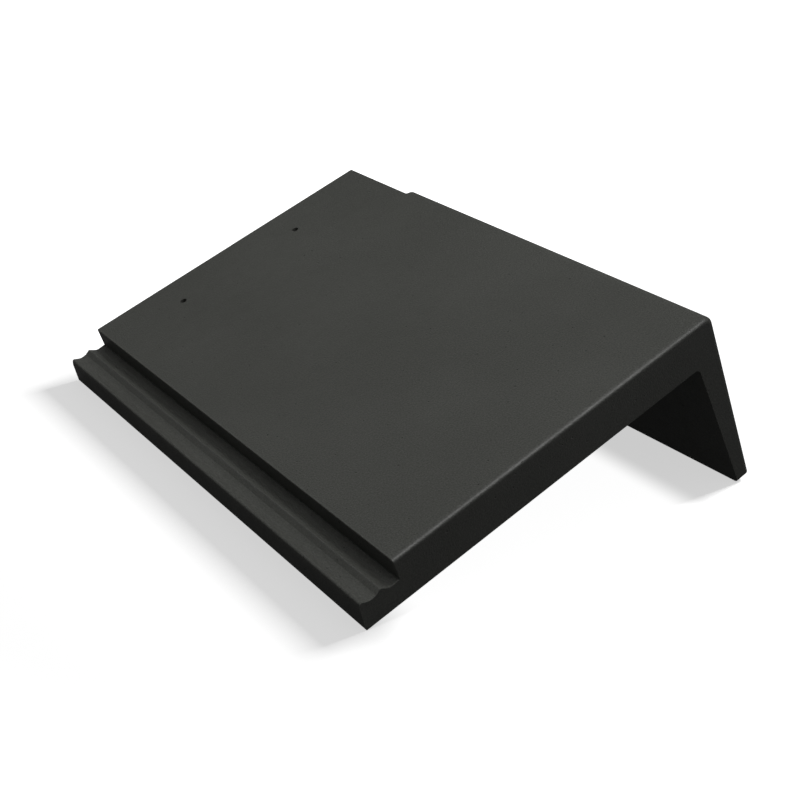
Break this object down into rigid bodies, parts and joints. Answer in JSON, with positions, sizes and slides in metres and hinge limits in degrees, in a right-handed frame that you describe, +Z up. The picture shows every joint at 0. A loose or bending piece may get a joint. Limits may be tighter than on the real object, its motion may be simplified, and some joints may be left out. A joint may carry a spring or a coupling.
{
  "type": "cloaked verge tile",
  "caption": "Flat interlocking concrete roof tile whose hanging cloak closes the verge at the roof's edge.",
  "frame": {"origin": "bottom centre of the tile's box as it lies on a level floor on its underlock edge and its cloak's foot", "axes": "+Y from the tail to the head, +X across from the underlock to the cloak, +Z up"},
  "size_m": [0.3512, 0.4238, 0.1447],
  "materials": {
    "concrete": "smooth matt dark grey concrete"
  },
  "bodies": {
    "root": {"verge_tile": "concrete"}
  },
  "joints": []
}
